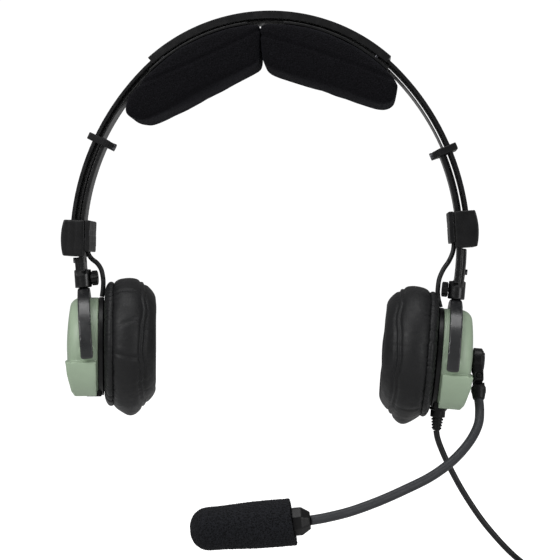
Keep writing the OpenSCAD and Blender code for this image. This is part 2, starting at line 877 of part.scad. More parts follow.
module strain_relief() {
  color("#131315")
    at_cup(RIGHT)
      translate([-4, 0, cup_z - dome_r - 5.2]) {
        translate([0, 0, -6.5]) cylinder(h = 6.45, r1 = 1.9, r2 = 2.5);
        for (k = [0:3])
          translate([0, 0, -1.5 - 1.45 * k]) cylinder(h = 0.8, r = 3 - 0.18 * k);
      }
}

module cord_run() { color("#18181a") tube(smooth(cord_route, 2), cord_d / 2, 8); }
module cord_tail() { color("#18181a") tube(smooth(tail_route, 2), cord_d / 2, 8); }

module cord_coil() {
  color("#18181a")
    translate([coil_x, coil_y, floor_z])
      rotate_extrude($fn = 72)
        translate([coil_mean_r - coil_wide * cord_d / 2, 0])
          square([coil_wide * cord_d, coil_high * cord_d]);
}

module cord_tie() {
  half = coil_wide * cord_d / 2;
  top = coil_high * cord_d;
  color("#2c2c30")
    translate([coil_x, coil_y, floor_z])
      rotate([0, 0, 215])
        translate([coil_mean_r, 0, 0])
          difference() {
            centred_box(-half - 0.7, half + 0.7, 4, 0, top + 0.7);
            centred_box(-half - 0.05, half + 0.05, 6, 0.5, top + 0.1);
          }
}

module plug_barrel() {
  color("#161618")
    translate([plug_x, plug_y, plug_z]) {
      x_cylinder(-plug_relief_l, -0.05, 2.6);
      x_cylinder(-plug_relief_l - plug_body_l, -plug_relief_l, plug_body_r - 0.5);
      x_cylinder(-plug_relief_l - plug_body_l, -plug_relief_l - 13, plug_body_r);
      for (k = [0:4])
        x_cylinder(-plug_relief_l - 2.2 - 2.2 * k, -plug_relief_l - 0.8 - 2.2 * k, plug_body_r);
    }
}

module plug_contacts() {
  color("#b9b9bd")
    translate([plug_x - plug_relief_l - plug_body_l - 0.05, plug_y, plug_z])
      rotate([0, -90, 0])
        rotate_extrude()
          polygon([
            [0, 0], [plug_pin_r, 0], [plug_pin_r, 9.5], [3.1, 10.2], [3.1, 15], [2.75, 15.6], [2.75, 20],
            [2.1, 20.8], [2.1, 22.2], [2.6, 23.6], [1.6, 26], [0, 26.4],
          ]);
}

headband_spring();
headband_cover();
cover_screws();
inner_strap();
crossover_lead();
left_pad();
right_pad();
left_pad_plate();
right_pad_plate();
left_buckle_outer();
left_buckle_inner();
right_buckle_outer();
right_buckle_inner();
buckle_screws();
left_slide_arm();
left_guide_clip();
left_arm_pins();
left_friction_knob();
right_slide_arm();
right_guide_clip();
right_arm_pins();
right_friction_knob();
left_stirrup();
left_wire();
right_stirrup();
right_wire();
left_ear_dome();
left_baffle();
left_cushion_plate();
left_ear_cushion();
left_speaker();
left_speaker_grille();
left_dome_foam();
left_pivot_pins();
left_cable_plate();
right_ear_dome();
right_baffle();
right_cushion_plate();
right_ear_cushion();
right_speaker();
right_speaker_grille();
right_dome_foam();
right_pivot_pins();
right_cable_plate();
right_terminal_board();
cord_socket();
boom_hub();
boom_hub_screw();
boom_elbow();
boom_gooseneck();
mic_housing();
mic_capsule();
mic_muff();
strain_relief();
cord_run();
cord_coil();
cord_tie();
cord_tail();
plug_barrel();
plug_contacts();
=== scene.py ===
"""Looks of the aviation headset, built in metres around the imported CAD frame."""

import json
import math

import bpy
import numpy as np
from mathutils import Matrix, Vector


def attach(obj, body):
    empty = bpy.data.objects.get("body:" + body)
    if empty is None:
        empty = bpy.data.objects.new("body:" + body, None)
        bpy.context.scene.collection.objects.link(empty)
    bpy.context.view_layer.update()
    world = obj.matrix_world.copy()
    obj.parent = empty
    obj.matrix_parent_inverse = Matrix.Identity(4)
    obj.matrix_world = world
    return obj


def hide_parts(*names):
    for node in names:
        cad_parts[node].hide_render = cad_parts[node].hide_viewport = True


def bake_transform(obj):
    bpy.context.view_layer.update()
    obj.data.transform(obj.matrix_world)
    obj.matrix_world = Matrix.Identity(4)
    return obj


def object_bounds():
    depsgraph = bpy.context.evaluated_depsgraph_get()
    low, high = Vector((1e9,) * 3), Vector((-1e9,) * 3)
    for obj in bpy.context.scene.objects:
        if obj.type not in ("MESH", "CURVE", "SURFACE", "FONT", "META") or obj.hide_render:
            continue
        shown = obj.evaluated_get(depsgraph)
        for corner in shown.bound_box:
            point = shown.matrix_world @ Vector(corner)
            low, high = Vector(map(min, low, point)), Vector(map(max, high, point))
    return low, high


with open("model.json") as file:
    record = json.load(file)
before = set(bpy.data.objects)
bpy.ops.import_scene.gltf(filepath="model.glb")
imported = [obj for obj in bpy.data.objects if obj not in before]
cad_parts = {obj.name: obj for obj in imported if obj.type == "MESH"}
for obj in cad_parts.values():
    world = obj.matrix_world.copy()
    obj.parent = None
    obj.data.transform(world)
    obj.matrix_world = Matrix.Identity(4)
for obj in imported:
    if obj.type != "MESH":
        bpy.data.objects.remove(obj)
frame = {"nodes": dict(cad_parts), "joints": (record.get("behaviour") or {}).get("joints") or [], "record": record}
CAD_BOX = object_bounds()
MM = 0.001
NODES = frame["nodes"]
JOINTS = {joint["name"]: joint for joint in frame["joints"]}
SCENE = bpy.context.scene


# ---- Small helpers ----


def mm(point):
    """A point in millimetres as a Vector in metres."""
    return Vector(point) * MM


def catmull(points, steps):
    """A smooth line through the points, with this many samples for each gap."""
    pts = [Vector(p) for p in points]
    out = []
    for i in range(len(pts) - 1):
        a, b = pts[max(i - 1, 0)], pts[i]
        c, d = pts[i + 1], pts[min(i + 2, len(pts) - 1)]
        for s in range(steps):
            t = s / steps
            out.append(
                0.5 * (2 * b + (c - a) * t + (2 * a - 5 * b + 4 * c - d) * t * t)
                + 0.5 * (3 * b - a - 3 * c + d) * t ** 3
            )
    return out + [pts[-1]]


def add_object(name, data, material=None):
    obj = bpy.data.objects.new(name, data)
    SCENE.collection.objects.link(obj)
    if material:
        data.materials.append(material)
    return obj


def mesh_object(name, verts, faces, material, smooth=True):
    mesh = bpy.data.meshes.new(name)
    mesh.from_pydata([tuple(v) for v in verts], [], faces)
    mesh.validate()
    mesh.polygons.foreach_set("use_smooth", [smooth] * len(mesh.polygons))
    mesh.update()
    return add_object(name, mesh, material)


def grid_faces(rows, cols, close_rows=False, close_cols=True):
    """Quads between rows x cols points; the last row or column can join the first."""
    faces = []
    for i in range(rows if close_rows else rows - 1):
        for j in range(cols if close_cols else cols - 1):
            i2, j2 = (i + 1) % rows, (j + 1) % cols
            faces.append((i * cols + j, i * cols + j2, i2 * cols + j2, i2 * cols + j))
    return faces


def outward(obj):
    """Turns every face of a closed mesh outwards."""
    bpy.context.view_layer.objects.active = obj
    for other in bpy.context.selected_objects:
        other.select_set(False)
    obj.select_set(True)
    bpy.ops.object.mode_set(mode="EDIT")
    bpy.ops.mesh.select_all(action="SELECT")
    bpy.ops.mesh.normals_make_consistent(inside=False)
    bpy.ops.object.mode_set(mode="OBJECT")
    obj.select_set(False)


def coords(obj):
    co = np.zeros(len(obj.data.vertices) * 3)
    obj.data.vertices.foreach_get("co", co)
    return co.reshape(-1, 3)


def normals(obj):
    obj.data.update()
    no = np.zeros(len(obj.data.vertices) * 3)
    obj.data.vertices.foreach_get("normal", no)
    return no.reshape(-1, 3)


def set_coords(obj, co):
    obj.data.vertices.foreach_set("co", np.asarray(co, float).ravel())
    obj.data.update()


def push(obj, distance):
    """Moves each vertex along its normal by its own distance, in metres."""
    set_coords(obj, coords(obj) + normals(obj) * np.asarray(distance)[:, None])


def apply_modifier(obj, kind, **settings):
    modifier = obj.modifiers.new(kind.lower(), kind)
    for key, value in settings.items():
        setattr(modifier, key, value)
    bpy.context.view_layer.objects.active = obj
    bpy.ops.object.modifier_apply(modifier=modifier.name)


def tube(name, points, radii, sides, material):
    """A round tube along points, closed at both ends, with its seam line kept from twisting."""
    pts = [Vector(p) for p in points]
    verts, up = [], Vector((0, 1, 0))
    for i, p in enumerate(pts):
        along = (pts[min(i + 1, len(pts) - 1)] - pts[max(i - 1, 0)]).normalized()
        up = (up - along * up.dot(along)).normalized()
        side = along.cross(up)
        r = radii[i] if hasattr(radii, "__len__") else radii
        for k in range(sides):
            a = 2 * math.pi * k / sides
            verts.append(p + r * (math.cos(a) * side + math.sin(a) * up))
    faces = grid_faces(len(pts), sides)
    faces.append(tuple(range(sides)))
    faces.append(tuple(range((len(pts) - 1) * sides, len(pts) * sides)))
    obj = mesh_object(name, verts, faces, material)
    outward(obj)
    return obj


# ---- Camera ----

VIEW_CENTRE = mm((5, 0, -101))
VIEW_DISTANCE = 0.9
VIEW_TURN = math.radians(2.5)
VIEW_WIDTH = 0.28

camera_data = bpy.data.cameras.new("camera")
camera_data.sensor_width = 36
camera_data.lens = 36 * VIEW_DISTANCE / VIEW_WIDTH
camera_data.clip_end = 20
camera = add_object("camera", camera_data)
camera.location = VIEW_CENTRE + VIEW_DISTANCE * Vector((math.sin(VIEW_TURN), -math.cos(VIEW_TURN), 0))
camera.rotation_euler = (VIEW_CENTRE - camera.location).to_track_quat("-Z", "Y").to_euler()
SCENE.camera = camera
SCENE.view_settings.view_transform = "Standard"


# ---- Materials ----


class Shader:
    """A principled material and short ways to add procedural detail to it, in object space."""

    def __init__(self, name, rough=0.5, metal=0.0, **sockets):
        self.material = bpy.data.materials.new(name)
        self.material.use_nodes = True
        self.tree = self.material.node_tree
        self.bsdf = next(n for n in self.tree.nodes if n.type == "BSDF_PRINCIPLED")
        self.bsdf.inputs["Roughness"].default_value = rough
        self.bsdf.inputs["Metallic"].default_value = metal
        for key, value in sockets.items():
            self.bsdf.inputs[key.replace("_", " ")].default_value = value
        self.coordinate = self.tree.nodes.new("ShaderNodeTexCoord").outputs["Object"]
        self.height = None

    def node(self, kind, **settings):
        node = self.tree.nodes.new("ShaderNode" + kind)
        for key, value in settings.items():
            setattr(node, key, value)
        return node

    def link(self, a, b):
        self.tree.links.new(a, b)

    def stretched(self, scale):
        mapping = self.node("Mapping")
        mapping.inputs["Scale"].default_value = scale
        self.link(self.coordinate, mapping.inputs["Vector"])
        return mapping.outputs["Vector"]

    def noise(self, scale, detail=3, roughness=0.55, stretch=None):
        noise = self.node("TexNoise")
        noise.inputs["Scale"].default_value = scale
        noise.inputs["Detail"].default_value = detail
        noise.inputs["Roughness"].default_value = roughness
        self.link(self.stretched(stretch) if stretch else self.coordinate, noise.inputs["Vector"])
        return noise.outputs["Fac"]

    def cells(self, scale, feature="F1", output="Distance", stretch=None):
        cells = self.node("TexVoronoi", feature=feature)
        cells.inputs["Scale"].default_value = scale
        self.link(self.stretched(stretch) if stretch else self.coordinate, cells.inputs["Vector"])
        return cells.outputs[output]

    def ramp(self, value, low, high, low_out=0.0, high_out=1.0):
        ramp = self.node("MapRange", clamp=True)
        self.link(value, ramp.inputs["Value"])
        for key, number in zip(("From Min", "From Max", "To Min", "To Max"), (low, high, low_out, high_out)):
            ramp.inputs[key].default_value = number
        return ramp.outputs["Result"]

    def math(self, operation, a, b):
        node = self.node("Math", operation=operation)
        for socket, value in zip(node.inputs, (a, b)):
            if isinstance(value, (int, float)):
                socket.default_value = value
            else:
                self.link(value, socket)
        return node.outputs[0]

    def colour(self, dark, light, factor):
        mix = self.node("Mix", data_type="RGBA")
        mix.inputs["A"].default_value = (*dark, 1)
        mix.inputs["B"].default_value = (*light, 1)
        self.link(factor, mix.inputs["Factor"])
        self.link(mix.outputs["Result"], self.bsdf.inputs["Base Color"])
        return self

    def roughness(self, factor, low, high):
        self.link(self.ramp(factor, 0.3, 0.7, low, high), self.bsdf.inputs["Roughness"])
        return self

    def bump(self, height, distance, strength=1.0):
        """Adds a layer of relief this many metres high, on top of the layers before it."""
        bump = self.node("Bump")
        bump.inputs["Distance"].default_value = distance
        bump.inputs["Strength"].default_value = strength
        self.link(height, bump.inputs["Height"])
        if self.height:
            self.link(self.height, bump.inputs["Normal"])
        self.height = bump.outputs["Normal"]
        self.link(self.height, self.bsdf.inputs["Normal"])
        return self


def shade(colour, factor):
    return tuple(c * factor for c in colour)


def moulded(name, colour, rough, grain=1400, relief=0.00002, spread=0.25, **sockets):
    """Moulded plastic: slight mottling, uneven gloss and a fine spark-eroded grain."""
    s = Shader(name, rough, **sockets)
    mottle = s.noise(55, 4)
    s.colour(shade(colour, 1 - spread), shade(colour, 1 + spread), mottle)
    s.roughness(s.noise(160, 5), rough - 0.06, rough + 0.09)
    s.bump(s.noise(grain, 2), relief)
    return s.material


GREEN = (0.30, 0.385, 0.275)
BLACK = (0.003, 0.003, 0.0034)


def dome_green():
    """Satin sage-green moulding, slightly mottled, with faint handling marks."""
    s = Shader("dome_green", 0.46, Coat_Weight=0.12, Coat_Roughness=0.35)
    marks = s.noise(38, 6, 0.62)
    s.colour(shade(GREEN, 0.86), shade(GREEN, 1.04), s.ramp(marks, 0.3, 0.7))
    s.roughness(s.noise(210, 4), 0.4, 0.54)
    s.bump(s.noise(2600, 2), 0.000018)
    s.bump(s.noise(30, 2), 0.00012)
    return s.material


def band_gloss():
    """Black lacquered spring leaf, with long fine polishing streaks."""
    s = Shader("band_gloss", 0.26, Coat_Weight=0.12, Coat_Roughness=0.14, Specular_IOR_Level=0.4)
    s.colour(shade(BLACK, 0.8), shade(BLACK, 1.3), s.noise(70, 3))
    s.roughness(s.noise(260, 4, 0.6, (1, 5, 1)), 0.18, 0.34)
    s.bump(s.noise(420, 3, 0.6, (1, 6, 1)), 0.00002)
    return s.material


def leatherette():
    """Soft black leatherette: pebbled grain, stretch lines and a low sheen."""
    s = Shader("cushion_leather", 0.5, Sheen_Weight=0.01, Sheen_Roughness=0.45, Specular_IOR_Level=0.25)
    mottle = s.noise(90, 5)
    s.colour((0.0045, 0.0046, 0.0051), (0.0082, 0.0084, 0.0092), mottle)
    s.roughness(s.noise(300, 4), 0.42, 0.6)
    s.bump(s.cells(1500, "F1"), 0.00005, 0.7)
    s.bump(s.cells(620, "SMOOTH_F1"), 0.00005, 0.6)
    s.bump(s.noise(190, 5, 0.65, (1, 1, 2.4)), 0.00022, 0.8)
    return s.material


def knit():
    """Brushed black knit over foam: fine stitch ribs under a short nap."""
    s = Shader(
        "pad_knit", 0.92, Sheen_Weight=0.025, Sheen_Roughness=0.5, Sheen_Tint=(0.62, 0.62, 0.8, 1),
        Specular_IOR_Level=0.06,
    )
    nap = s.noise(1500, 5, 0.75)
    s.colour((0.0018, 0.0017, 0.0021), (0.0075, 0.0072, 0.009), s.ramp(nap, 0.4, 0.68))
    s.bump(s.cells(1350, "F1", stretch=(1, 1.6, 1)), 0.00035, 0.9)
    s.bump(s.noise(420, 4, 0.7), 0.00035, 0.7)
    return s.material


def open_foam():
    """Open-cell black foam: a net of struts round deep pores, the pores darkened with painted shade."""
    s = Shader("muff_foam", 0.95, Sheen_Weight=0.02, Sheen_Roughness=0.6, Specular_IOR_Level=0.12)
    pores = s.cells(1150, "F1")
    # Painted shade: the colour darkens towards each pore's centre, where the bump is lowest
    s.colour((0.0016, 0.0016, 0.002), (0.0105, 0.011, 0.0135), s.ramp(pores, 0.15, 0.6))
    s.bump(pores, 0.0005, 1.0)
    s.bump(s.noise(500, 4, 0.7), 0.0003, 0.8)
    return s.material


def rubber(name, colour, rough):
    """Extruded PVC jacket with a dusty, faintly streaked surface."""
    s = Shader(name, rough, Sheen_Weight=0.02, Specular_IOR_Level=0.3)
    s.colour(shade(colour, 0.8), shade(colour, 1.22), s.noise(130, 5))
    s.roughness(s.noise(420, 4), rough - 0.07, rough + 0.1)
    s.bump(s.noise(1700, 3), 0.00003)
    return s.material


def metal(name, colour, rough):
    """Turned metal with fine tool marks."""
    s = Shader(name, rough, 1.0)
    s.colour(shade(colour, 0.86), shade(colour, 1.0), s.noise(300, 4))
    s.roughness(s.noise(700, 3, 0.6, (3, 1, 1)), rough - 0.06, rough + 0.1)
    s.bump(s.noise(2200, 2, 0.5, (4, 1, 1)), 0.00001)
    return s.material


def speaker_cloth():
    """Thin acoustic cloth with a square weave, its hollows darkened with painted shade."""
    s = Shader("speaker_cloth", 0.85, Sheen_Weight=0.2)
    weave = s.cells(1700, "F1", stretch=(0.2, 1, 1))
    # Painted shade: the colour darkens where the weave's bump is lowest
    s.colour((0.006, 0.006, 0.007), (0.024, 0.024, 0.026), s.ramp(weave, 0.1, 0.6))
    s.bump(weave, 0.0002)
    return s.material


FINISH = {
    "dome_green": dome_green(),
    "black_satin": moulded("black_satin", BLACK, 0.38, Specular_IOR_Level=0.24),
    "band_gloss": band_gloss(),
    "stirrup_black": moulded(
        "stirrup_black", (0.012, 0.0125, 0.0135), 0.3, Coat_Weight=0.2, Coat_Roughness=0.18,
    ),
    "pad_knit": knit(),
    "cushion_leather": leatherette(),
    "muff_foam": open_foam(),
    "damping_foam": moulded("damping_foam", (0.04, 0.04, 0.045), 0.95, 900, 0.0003),
    "boom_jacket": rubber("boom_jacket", (0.023, 0.0245, 0.028), 0.48),
    "cord_rubber": rubber("cord_rubber", (0.006, 0.0062, 0.0068), 0.44),
    "dark_steel": metal("dark_steel", (0.11, 0.11, 0.12), 0.34),
    "driver_steel": metal("driver_steel", (0.45, 0.45, 0.47), 0.32),
    "board_green": moulded("board_green", (0.03, 0.1, 0.045), 0.4, 700, 0.00004),
    "plug_nickel": metal("plug_nickel", (0.68, 0.66, 0.62), 0.18),
}
CLOTH_FINISH = speaker_cloth()


# ---- The lead: run, coil and tail on one curve ----

LEAD_D = 3 * MM
COIL_CENTRE = mm((150, -4, 0))
COIL_RADII = (20, 17, 14)
COIL_LEVELS = (-247.5, -250.5, -253.5, -256.5)
JOG_SPAN = 60
JOG_STEP = 24
JOG_FIRST = 10
RUN_ROUTE = [
    (82.9, 0, -175.9), (83.6, 0, -180), (85.8, 0, -186), (89.5, 0, -194), (96, 0, -206), (104.5, 0.5, -219),
    (113, 2, -229.5), (121, 5, -238), (128, 9, -243.8), (135, 12.8, -247), (142, 15.3, -247.8),
    (150, 16, -247.5),
]
TAIL_ROUTE = [
    (150, 16, -256.5), (160, 17.4, -256.5), (168, 13.5, -256.5), (173, 5.5, -256.5), (174, -4.5, -256.5),
    (172, -14.5, -256.5), (167.5, -24, -256.3), (159.5, -31.5, -255.3), (150, -35, -253),
]


def ease(t):
    t = min(max(t, 0.0), 1.0)
    return 0.5 - 0.5 * math.cos(math.pi * t)


def coil_points(per_turn):
    """Eleven clockwise turns, in and out by layers. A jog to the next place follows the one below it."""
    slots = []
    for level, z in enumerate(COIL_LEVELS):
        radii = COIL_RADII if level % 2 == 0 else COIL_RADII[::-1]
        slots += [(r, z, 2 * level) for r in radii]
    points = []
    for turn in range(11):
        (r0, z0, group), (r1, z1, _) = slots[turn], slots[turn + 1]
        order = group + (1 if z1 != z0 else 0)
        start = JOG_FIRST + JOG_STEP * (6 - order)
        for k in range(per_turn):
            turned = 360 * k / per_turn
            t = ease((turned - start) / JOG_SPAN)
            a = math.radians(90 - turned)
            r, z = r0 + (r1 - r0) * t, z0 + (z1 - z0) * t
            points.append(COIL_CENTRE + mm((r * math.cos(a), r * math.sin(a), z)))
    return points


def polyline(name, points, radius, material, resolution=6):
    curve = bpy.data.curves.new(name, "CURVE")
    curve.dimensions = "3D"
    curve.bevel_depth = radius
    curve.bevel_resolution = resolution
    curve.use_fill_caps = True
    spline = curve.splines.new("POLY")
    spline.points.add(len(points) - 1)
    for slot, p in zip(spline.points, points):
        slot.co = (*p, 1)
    spline.use_smooth = True
    return add_object(name, curve, material)


def build_lead():
    run = catmull([mm(p) for p in RUN_ROUTE], 4)
    tail = catmull([mm(p) for p in TAIL_ROUTE], 4)
    points = run[:-1] + coil_points(36) + tail
    lead = polyline("lead", points, LEAD_D / 2, FINISH["cord_rubber"])
    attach(lead, "right_cup")
    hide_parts("cord_run", "cord_coil", "cord_tail")


build_lead()


# ---- CAD nodes: materials, softened edges and smooth shading ----

EDGE = {
    "dome_green": 0.0007, "black_satin": 0.0004, "band_gloss": 0.0003, "stirrup_black": 0.0005,
    "dark_steel": 0.0001, "driver_steel": 0.0002, "board_green": 0.0001, "plug_nickel": 0.0001,
}


def slot_names():
    """The record's slot for each node."""
    return {part["node"]: part["material_slot"] for part in frame["record"]["subparts"]}


def finish_cad():
    slots = slot_names()
    for name, obj in NODES.items():
        kind = slots[name]
        obj.data.materials.clear()
        obj.data.materials.append(FINISH[kind])
        for polygon in obj.data.polygons:
            polygon.use_smooth = True
        width = EDGE.get(kind, 0)
        if not width:
            continue
        weld = obj.modifiers.new("weld", "WELD")
        weld.merge_threshold = 0.00001
        bevel = obj.modifiers.new("edges", "BEVEL")
        bevel.width = width
        bevel.segments = 3
        bevel.limit_method = "ANGLE"
        bevel.angle_limit = math.radians(32)
        bevel.harden_normals = False
        weighted = obj.modifiers.new("normals", "WEIGHTED_NORMAL")
        weighted.keep_sharp = True


finish_cad()


# ---- Frames of the ear cups and of the microphone ----

CUP_TILT = {"left": 0.0, "right": 5.0}
STIRRUP_LEAN = {"left": 4.0, "right": 5.0}
SWIVEL = {"left": 7.0, "right": 0.0}
CUP_Z = 2.0
CUSHION_LIFT = 1.2
SKIRT_X = -12.0


def cup_matrix(side):
    """From the cup's own frame, in metres with x outwards, to the row frame."""
    pivot = Vector(JOINTS[side + "_tilt"]["pos_m"])
    flip = Matrix.Diagonal((-1, 1, 1, 1)) if side == "left" else Matrix.Identity(4)
    place = Matrix.Translation((abs(pivot.x), pivot.y, pivot.z))
    lean = Matrix.Rotation(math.radians(STIRRUP_LEAN[side]), 4, "Y")
    swivel = Matrix.Rotation(math.radians(-SWIVEL[side]), 4, "Z")
    tilt = Matrix.Rotation(math.radians(CUP_TILT[side] - STIRRUP_LEAN[side]), 4, "Y")
    return flip @ place @ lean @ swivel @ tilt


# ---- Moulded and cast parts: a skin over the CAD node, with its edges rounded ----

BLOCK_FACE = 8.6
DOME_FACE = 10.5
DOME_CROWN = 120.0
FACE_EDGE_R = 24.4
SHOULDER_OUT = 3.2
SHOULDER_R = 6
SHOULDER_FROM_R = 18.5
BLOCK_TOP = -5.2
FACE_HEIGHTS = (-26.5, -24.0, -20.0, -11.0, -5.0)
FACE_OUT = (3.3, 5.2, 7.8, 9.8, 10.3)


def soften(name, body, voxel, rounds, warp=None):
    """Copies a node, rounds its edges by remeshing and smoothing, and lets the copy stand for it."""
    source = NODES[name]
    skin = bpy.data.objects.new(name + "_skin", source.data.copy())
    SCENE.collection.objects.link(skin)
    skin.data.transform(source.matrix_world)
    apply_modifier(skin, "WELD", merge_threshold=0.00001)
    apply_modifier(skin, "REMESH", mode="VOXEL", voxel_size=voxel * MM)
    apply_modifier(skin, "SMOOTH", factor=0.5, iterations=rounds)
    if warp:
        warp(skin)
    for polygon in skin.data.polygons:
        polygon.use_smooth = True
    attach(skin, body)
    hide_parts(name)
    return skin


def shape_block(side):
    """Brings the dome's low block level with its face, and draws the block's foot in to a round corner."""
    def warp(skin):
        matrix = np.array(cup_matrix(side))
        back = np.linalg.inv(matrix)
        co = coords(skin) @ back[:3, :3].T + back[:3, 3]
        x, y, z = co.T / MM
        r = np.hypot(y, z - CUP_Z)
        round_face = np.where(r < FACE_EDGE_R, DOME_FACE - r ** 2 / (2 * DOME_CROWN), 0)
        drop = np.clip(r - SHOULDER_FROM_R, 0, SHOULDER_R) ** 2
        shoulder = SHOULDER_OUT + np.sqrt(np.clip(SHOULDER_R ** 2 - drop, 0, None))
        face = np.maximum(np.minimum(round_face, shoulder), BLOCK_FACE)
        ratio = np.interp(z, FACE_HEIGHTS, FACE_OUT) / face
        low = (z < BLOCK_TOP) & (x > 0)
        co[:, 0] = np.where(low, x * ratio, x) * MM
        set_coords(skin, co @ matrix[:3, :3].T + matrix[:3, 3])
    return warp


def soften_all():
    for side in ("left", "right"):
        soften(side + "_ear_dome", side + "_cup", 0.55, 3, shape_block(side))
        soften(side + "_stirrup", side + "_stirrup_frame", 0.42, 4)
        soften(side + "_slide_arm", side + "_arm", 0.42, 3)
        soften(side + "_guide_clip", side + "_arm", 0.34, 3)
        soften(side + "_buckle_outer", "headband", 0.45, 5)
        soften(side + "_buckle_inner", "headband", 0.4, 3)
    soften("boom_hub", "boom_turret", 0.35, 9)
    soften("boom_elbow", "boom", 0.32, 7)
    soften("mic_housing", "boom", 0.36, 3)


soften_all()


# ---- Ear cushions ----

CUSHION_PROFILE = [
    (28.6, 0.3), (31.0, 1.0), (32.9, 3.6), (33.6, 7.8), (33.0, 11.8), (31.2, 15.2), (28.6, 18.4),
    (25.6, 20.9), (22.4, 21.9), (19.2, 20.4), (17.2, 16.6), (16.5, 10.5),
    (17.2, 4.0), (19.4, 0.6), (24.0, 0.2),
]
LIP_PROFILE = [
    (29.4, 1.2), (30.9, 0.7), (31.3, -0.4), (30.9, -1.6), (29.4, -2.7), (27.9, -3.3), (26.6, -3.6),
    (25.7, -3.3), (27.9, -2.2), (28.6, -0.6),
]


def closed_profile(points, count):
    """Evenly spaced points along a smooth closed line through the given ones."""
    n = len(points)
    fine = []
    for i in range(n):
        a, b, c, d = (Vector(points[(i + k) % n]) for k in (-1, 0, 1, 2))
        for s in range(24):
            t = s / 24
            fine.append(
                0.5 * (2 * b + (c - a) * t + (2 * a - 5 * b + 4 * c - d) * t * t
                       + (3 * b - a - 3 * c + d) * t ** 3)
            )
    lengths = [0.0]
    for a, b in zip(fine, fine[1:] + fine[:1]):
        lengths.append(lengths[-1] + (b - a).length)
    out = []
    for k in range(count):
        target = lengths[-1] * k / count
        i = max(j for j in range(len(fine)) if lengths[j] <= target)
        gap = lengths[i + 1] - lengths[i]
        out.append(fine[i].lerp(fine[(i + 1) % len(fine)], (target - lengths[i]) / gap))
    return np.array([tuple(p) for p in out])


def ring_mesh(name, profile, around, matrix, material):
    """Turns a closed (radius, depth) profile about the cup's axis."""
    angle = np.linspace(0, 2 * np.pi, around, endpoint=False)
    a, r = np.meshgrid(angle, profile[:, 0], indexing="ij")
    depth = np.broadcast_to(profile[:, 1], a.shape)
    height = CUP_Z + CUSHION_LIFT + r * np.sin(a)
    local = np.stack([SKIRT_X - depth, r * np.cos(a), height], -1).reshape(-1, 3)
    verts = [matrix @ mm(p) for p in local]
    obj = mesh_object(name, verts, grid_faces(around, len(profile), True, True), material)
    outward(obj)
    return obj, a.ravel(), r.ravel(), depth.ravel()


def bell(x, width):
    return np.exp(-((x / width) ** 2))


def angle_gap(a, b):
    return (a - b + np.pi) % (2 * np.pi) - np.pi


def cushion_relief(rng, a, r, depth, creases):
    """Millimetres to push each point of a cushion outwards: seam, puckers, gathers and creases."""
    seam_at = 15.6 + 0.6 * np.sin(3 * a + 0.6) + 0.35 * np.sin(7 * a + 2.1) + 0.2 * np.sin(13 * a)
    outer = 1 / (1 + np.exp(-(r - 25.5) / 0.8))
    off = depth - seam_at
    out = outer * (0.42 * bell(off, 0.45) - 0.75 * bell(off - 1.0, 0.7) - 0.7 * bell(off + 1.0, 0.7))
    wall = outer * np.clip(depth / 4, 0, 1) * np.clip((seam_at - depth) / 4, 0, 1)
    face = np.clip((depth - seam_at) / 2.5, 0, 1)
    for _ in range(11):
        centre = rng.uniform(0, 2 * np.pi)
        width = rng.uniform(0.12, 0.34)
        out += rng.uniform(-0.55, 0.5) * bell(angle_gap(a, centre), width) * wall
        out += rng.uniform(-0.5, 0.4) * bell(angle_gap(a, centre), width) * face
    for _ in range(120):
        centre = rng.uniform(0, 2 * np.pi)
        lean = rng.uniform(-0.012, 0.012)
        width = rng.uniform(0.010, 0.026)
        reach = rng.uniform(2.0, 6.5)
        gather = bell(angle_gap(a, centre + lean * depth), width) * np.clip(1 - depth / reach, 0, 1) * outer
        out -= rng.uniform(0.12, 0.42) * gather
    for _ in range(46):
        centre = rng.uniform(0, 2 * np.pi)
        width = rng.uniform(0.012, 0.03)
        reach = rng.uniform(1.5, 5.0)
        near = bell(angle_gap(a, centre), width) * bell(off, reach)
        pucker = near * outer * np.clip(np.abs(off) / 0.8, 0, 1)
        out -= rng.uniform(0.05, 0.24) * pucker
    for centre, strength, slope in creases:
        line = angle_gap(a, centre + slope * (depth - 8))
        out -= strength * bell(line, 0.022) * wall
        out += 0.45 * strength * (bell(line - 0.07, 0.05) + bell(line + 0.07, 0.05)) * wall
    return out


def cushion(side, seed, creases):
    rng = np.random.default_rng(seed)
    matrix = cup_matrix(side)
    leather = FINISH["cushion_leather"]
    profile = closed_profile(CUSHION_PROFILE, 92)
    obj, a, r, depth = ring_mesh(side + "_cushion", profile, 300, matrix, leather)
    push(obj, cushion_relief(rng, a, r, depth, creases) * MM)
    # The foam sags to a point at the foot and is drawn a little flat at the crown
    foot = bell(angle_gap(a, -np.pi / 2), 0.3) * bell(depth - 9.5, 4.5) * (r > 24)
    crown = bell(angle_gap(a, np.pi / 2), 0.5) * bell(depth - 6, 6) * (r > 24)
    push(obj, (2.6 * foot - 0.5 * crown) * MM)
    lip, la, *_ = ring_mesh(side + "_lip", closed_profile(LIP_PROFILE, 30), 420, matrix, leather)
    gather = np.zeros(len(la))
    for _ in range(120):
        depth_in, centre, width = rng.uniform(0.05, 0.3), rng.uniform(0, 2 * np.pi), rng.uniform(0.008, 0.02)
        gather -= depth_in * bell(angle_gap(la, centre), width)
    push(lip, gather * MM)
    join(obj, lip)
    apply_modifier(obj, "SUBSURF", levels=1, render_levels=1)
    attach(obj, side + "_cup")
    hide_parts(side + "_ear_cushion")
    return obj


def join(obj, *others):
    for other in bpy.context.selected_objects:
        other.select_set(False)
    for part in (obj, *others):
        part.select_set(True)
    bpy.context.view_layer.objects.active = obj
    bpy.ops.object.join()
    obj.select_set(False)


cushion("left", 11, [
    (math.pi + 0.16, 0.75, 0.006), (math.pi - 0.35, 0.3, -0.01), (0.5, 0.5, 0.01), (2.2, 0.3, 0),
])
cushion("right", 23, [(math.pi + 0.95, 0.25, 0.0), (-0.4, 0.5, 0.01), (1.0, 0.35, -0.01)])


# ---- Acoustic cloth over each grille ----


